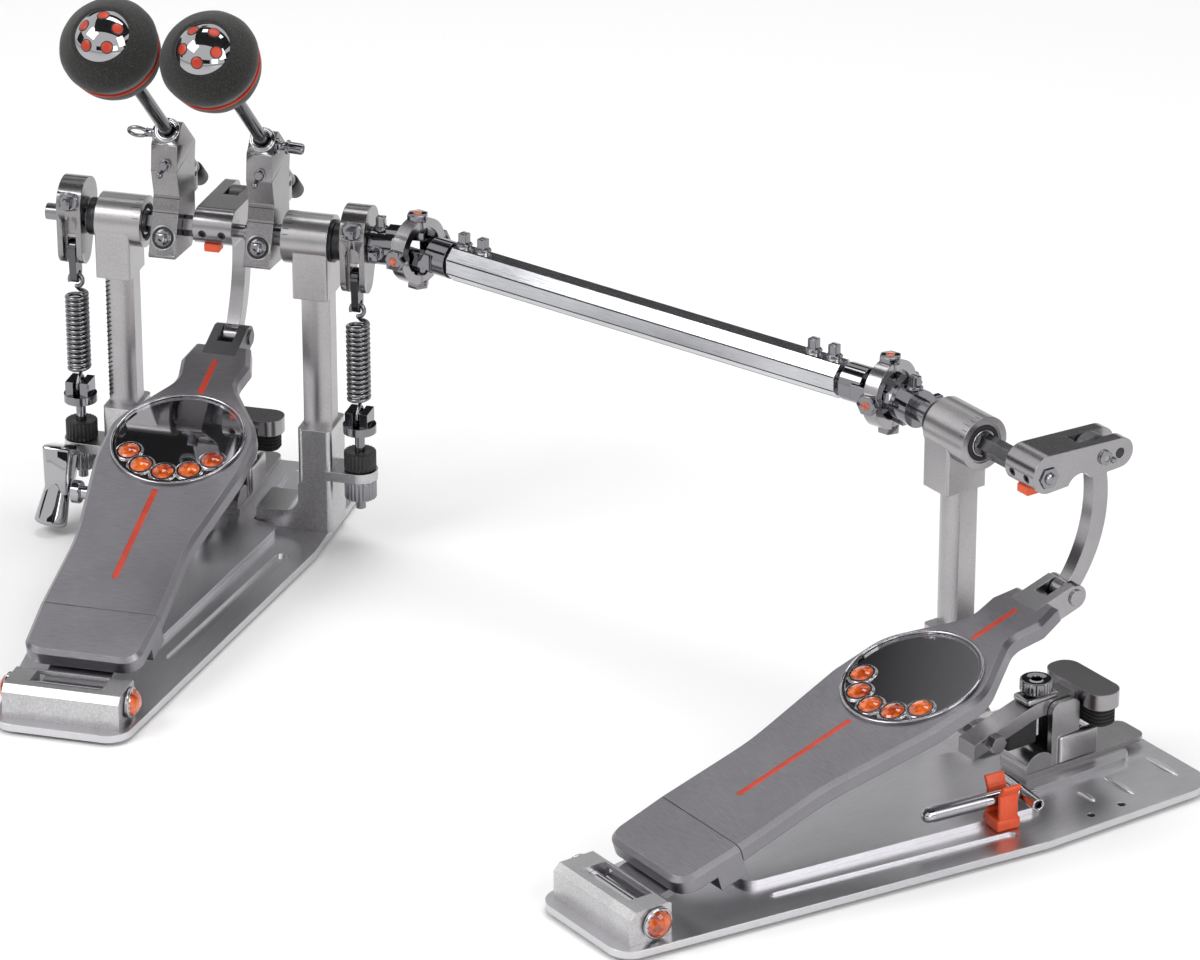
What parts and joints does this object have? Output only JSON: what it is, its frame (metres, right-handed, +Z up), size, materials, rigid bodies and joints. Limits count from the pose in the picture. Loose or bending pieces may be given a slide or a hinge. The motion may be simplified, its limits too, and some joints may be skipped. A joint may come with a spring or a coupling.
{
  "type": "double bass drum pedal",
  "caption": "Direct-drive double bass drum pedal: a main pedal with a pair of beaters, joined to a slave pedal by a telescopic drive shaft with ring joints.",
  "frame": {"origin": "on the floor, under the main axle, midway between the main pedal's two posts", "axes": "+X along the main axle towards the slave pedal, +Y towards the bass drum, +Z up"},
  "size_m": [0.7365, 0.5434, 0.3618],
  "materials": {
    "satin": "satin cast and brushed aluminium",
    "plate": "brushed pressed plate",
    "chrome": "polished",
    "steel": "turned",
    "felt": "dense black felt",
    "rubber": "matt",
    "black_knob": "fluted",
    "orange": "moulded"
  },
  "bodies": {
    "main_base": {"main_floor_pad": "rubber", "main_base_plate": "plate", "main_heel_block": "satin", "main_feet": "satin", "main_posts": "satin", "main_bearing_housings": "satin", "main_clamp_base": "satin", "spring_hangers": "chrome", "left_spring": "chrome", "right_spring": "chrome"},
    "main_footboard": {"main_footboard": "satin", "main_medallion": "chrome", "main_toe_clevis": "satin", "main_hinge_rod": "chrome"},
    "main_axle": {"main_axle": "steel", "main_cam": "satin", "left_rocker": "satin", "left_beater_holder": "satin"},
    "main_link": {"main_link": "satin"},
    "left_beater": {"left_beater_shaft": "chrome", "left_beater_head": "felt"},
    "left_strap": {"left_strap": "chrome"},
    "left_tension_knobs": {"left_tension_knobs": "black_knob"},
    "second_axle": {"second_axle": "steel", "right_rocker": "satin", "right_beater_holder": "satin", "second_axle_yoke": "steel"},
    "right_beater": {"right_beater_shaft": "chrome", "right_beater_head": "felt"},
    "right_strap": {"right_strap": "chrome"},
    "right_tension_knobs": {"right_tension_knobs": "black_knob"},
    "main_joint_ring": {"main_joint_ring": "satin"},
    "drive_tube": {"drive_tube": "chrome", "drive_tube_yoke": "steel"},
    "main_clamp_jaw": {"main_clamp_jaw": "satin", "main_clamp_pad": "rubber"},
    "main_clamp_collar": {"main_clamp_collar": "chrome"},
    "main_clamp_lever": {"main_clamp_lever": "chrome"},
    "slave_base": {"slave_floor_pad": "rubber", "slave_base_plate": "plate", "slave_heel_block": "satin", "slave_foot": "satin", "slave_post": "satin", "slave_bearing_housing": "satin", "slave_clamp_base": "satin", "key_clip": "orange"},
    "slave_footboard": {"slave_footboard": "satin", "slave_medallion": "chrome", "slave_toe_clevis": "satin", "slave_hinge_rod": "chrome"},
    "slave_axle": {"slave_axle": "steel", "slave_cam": "satin", "slave_axle_yoke": "steel"},
    "slave_link": {"slave_link": "satin"},
    "slave_joint_ring": {"slave_joint_ring": "satin"},
    "drive_rod": {"drive_rod_yoke": "steel"},
    "slave_clamp_jaw": {"slave_clamp_jaw": "satin", "slave_clamp_pad": "rubber"},
    "slave_clamp_collar": {"slave_clamp_collar": "chrome"},
    "drum_key": {"drum_key": "chrome"}
  },
  "joints": [
    {"name": "main_footboard_press", "type": "hinge", "parent": "main_base", "child": "main_footboard", "pos_m": [0, -0.276, 0.0166], "axis": [1, 0, 0], "range_deg": [-5.5, 0], "stiffness_Nm_per_rad": 20, "springref_deg": 8.59},
    {"name": "main_axle_turn", "type": "hinge", "parent": "main_base", "child": "main_axle", "pos_m": [0, 0, 0.19], "axis": [1, 0, 0], "range_deg": [-42, 0]},
    {"name": "main_link_swing", "type": "hinge", "parent": "main_axle", "child": "main_link", "pos_m": [0, 0.039, 0.192], "axis": [1, 0, 0], "range_deg": [0, 53]},
    {"name": "left_strap_pull", "type": "slide", "parent": "main_base", "child": "left_strap", "axis": [0, -0.7842, 0.6205], "range_m": [0, 0.0145], "deforming": ["left_spring"]},
    {"name": "left_beater_height", "type": "slide", "parent": "main_axle", "child": "left_beater", "axis": [0, -0.7361, 0.6769], "range_m": [-0.03, 0.02]},
    {"name": "left_tension_turn", "type": "hinge", "parent": "main_base", "child": "left_tension_knobs", "pos_m": [-0.0875, -0.006, 0.05], "axis": [0, 0, 1], "continuous": true},
    {"name": "second_axle_turn", "type": "hinge", "parent": "main_base", "child": "second_axle", "pos_m": [0, 0, 0.19], "axis": [1, 0, 0], "range_deg": [-43.5, 0]},
    {"name": "right_strap_pull", "type": "slide", "parent": "main_base", "child": "right_strap", "axis": [0, -0.7775, 0.6289], "range_m": [0, 0.0148], "deforming": ["right_spring"]},
    {"name": "right_beater_height", "type": "slide", "parent": "second_axle", "child": "right_beater", "axis": [0, -0.7361, 0.6769], "range_m": [-0.025, 0.025]},
    {"name": "right_tension_turn", "type": "hinge", "parent": "main_base", "child": "right_tension_knobs", "pos_m": [0.0875, -0.006, 0.05], "axis": [0, 0, 1], "continuous": true},
    {"name": "main_ring_swing", "type": "hinge", "parent": "second_axle", "child": "main_joint_ring", "pos_m": [0.1233, 0, 0.19], "axis": [0, 0, 1], "range_deg": [0, 6]},
    {"name": "drive_tube_turn", "type": "hinge", "parent": "main_base", "child": "drive_tube", "pos_m": [0.1233, 0, 0.19], "axis": [0.9229, -0.385, 0], "range_deg": [-41.5, 0]},
    {"name": "clamp_lever_turn", "type": "hinge", "parent": "main_base", "child": "main_clamp_lever", "pos_m": [0, -0.036, 0.0256], "axis": [1, 0, 0], "range_deg": [0, 90]},
    {"name": "main_jaw_swing", "type": "hinge", "parent": "main_base", "child": "main_clamp_jaw", "pos_m": [0, 0.019, 0.041], "axis": [1, 0, 0], "range_deg": [-3.2, 0]},
    {"name": "main_collar_turn", "type": "hinge", "parent": "main_clamp_jaw", "child": "main_clamp_collar", "pos_m": [0, 0.006, 0.052], "axis": [0, 0, 1], "continuous": true},
    {"name": "slave_distance", "type": "slide", "parent": "main_base", "child": "slave_base", "axis": [0.9229, -0.385, 0], "range_m": [-0.002, 0.08]},
    {"name": "slave_footboard_press", "type": "hinge", "parent": "slave_base", "child": "slave_footboard", "pos_m": [0.35816, -0.42411, 0.0166], "axis": [0.7727, -0.6347, 0], "range_deg": [-5.5, 0], "stiffness_Nm_per_rad": 20, "springref_deg": 8.59},
    {"name": "slave_axle_turn", "type": "hinge", "parent": "slave_base", "child": "slave_axle", "pos_m": [0.53335, -0.21084, 0.19], "axis": [0.7727, -0.6347, 0], "range_deg": [-42, 0]},
    {"name": "slave_link_swing", "type": "hinge", "parent": "slave_axle", "child": "slave_link", "pos_m": [0.5581, -0.1807, 0.192], "axis": [0.7727, -0.6347, 0], "range_deg": [0, 53]},
    {"name": "slave_ring_swing", "type": "hinge", "parent": "slave_axle", "child": "slave_joint_ring", "pos_m": [0.43498, -0.13004, 0.19], "axis": [0, 0, 1], "range_deg": [-5, 0]},
    {"name": "drive_rod_turn", "type": "hinge", "parent": "slave_base", "child": "drive_rod", "pos_m": [0.43498, -0.13004, 0.19], "axis": [0.9229, -0.385, 0], "range_deg": [-41.5, 0]},
    {"name": "slave_jaw_swing", "type": "hinge", "parent": "slave_base", "child": "slave_clamp_jaw", "pos_m": [0.54541, -0.19616, 0.041], "axis": [0.7727, -0.6347, 0], "range_deg": [-6, 10]},
    {"name": "slave_collar_turn", "type": "hinge", "parent": "slave_clamp_jaw", "child": "slave_clamp_collar", "pos_m": [0.53716, -0.2062, 0.052], "axis": [0, 0, 1], "continuous": true},
    {"name": "drum_key_pull", "type": "slide", "parent": "slave_base", "child": "drum_key", "axis": [0.7227, 0.6911, 0], "range_m": [0, 0.057]}
  ],
  "couplings": [
    {"joint": "main_axle_turn", "follows": "main_footboard_press", "ratio": 7.573},
    {"joint": "main_link_swing", "follows": "main_footboard_press", "ratio": -9.51},
    {"joint": "left_strap_pull", "follows": "main_footboard_press", "m_per_rad": -0.14759},
    {"joint": "slave_axle_turn", "follows": "slave_footboard_press", "ratio": 7.573},
    {"joint": "slave_link_swing", "follows": "slave_footboard_press", "ratio": -9.51},
    {"joint": "drive_rod_turn", "follows": "slave_footboard_press", "ratio": 7.3142},
    {"joint": "drive_tube_turn", "follows": "slave_footboard_press", "ratio": 7.3142},
    {"joint": "slave_ring_swing", "follows": "slave_footboard_press", "ratio": 0.57279},
    {"joint": "main_ring_swing", "follows": "slave_footboard_press", "ratio": -0.78889},
    {"joint": "second_axle_turn", "follows": "slave_footboard_press", "ratio": 7.797},
    {"joint": "right_strap_pull", "follows": "slave_footboard_press", "m_per_rad": -0.15175},
    {"joint": "main_jaw_swing", "follows": "clamp_lever_turn", "ratio": -0.033333}
  ]
}
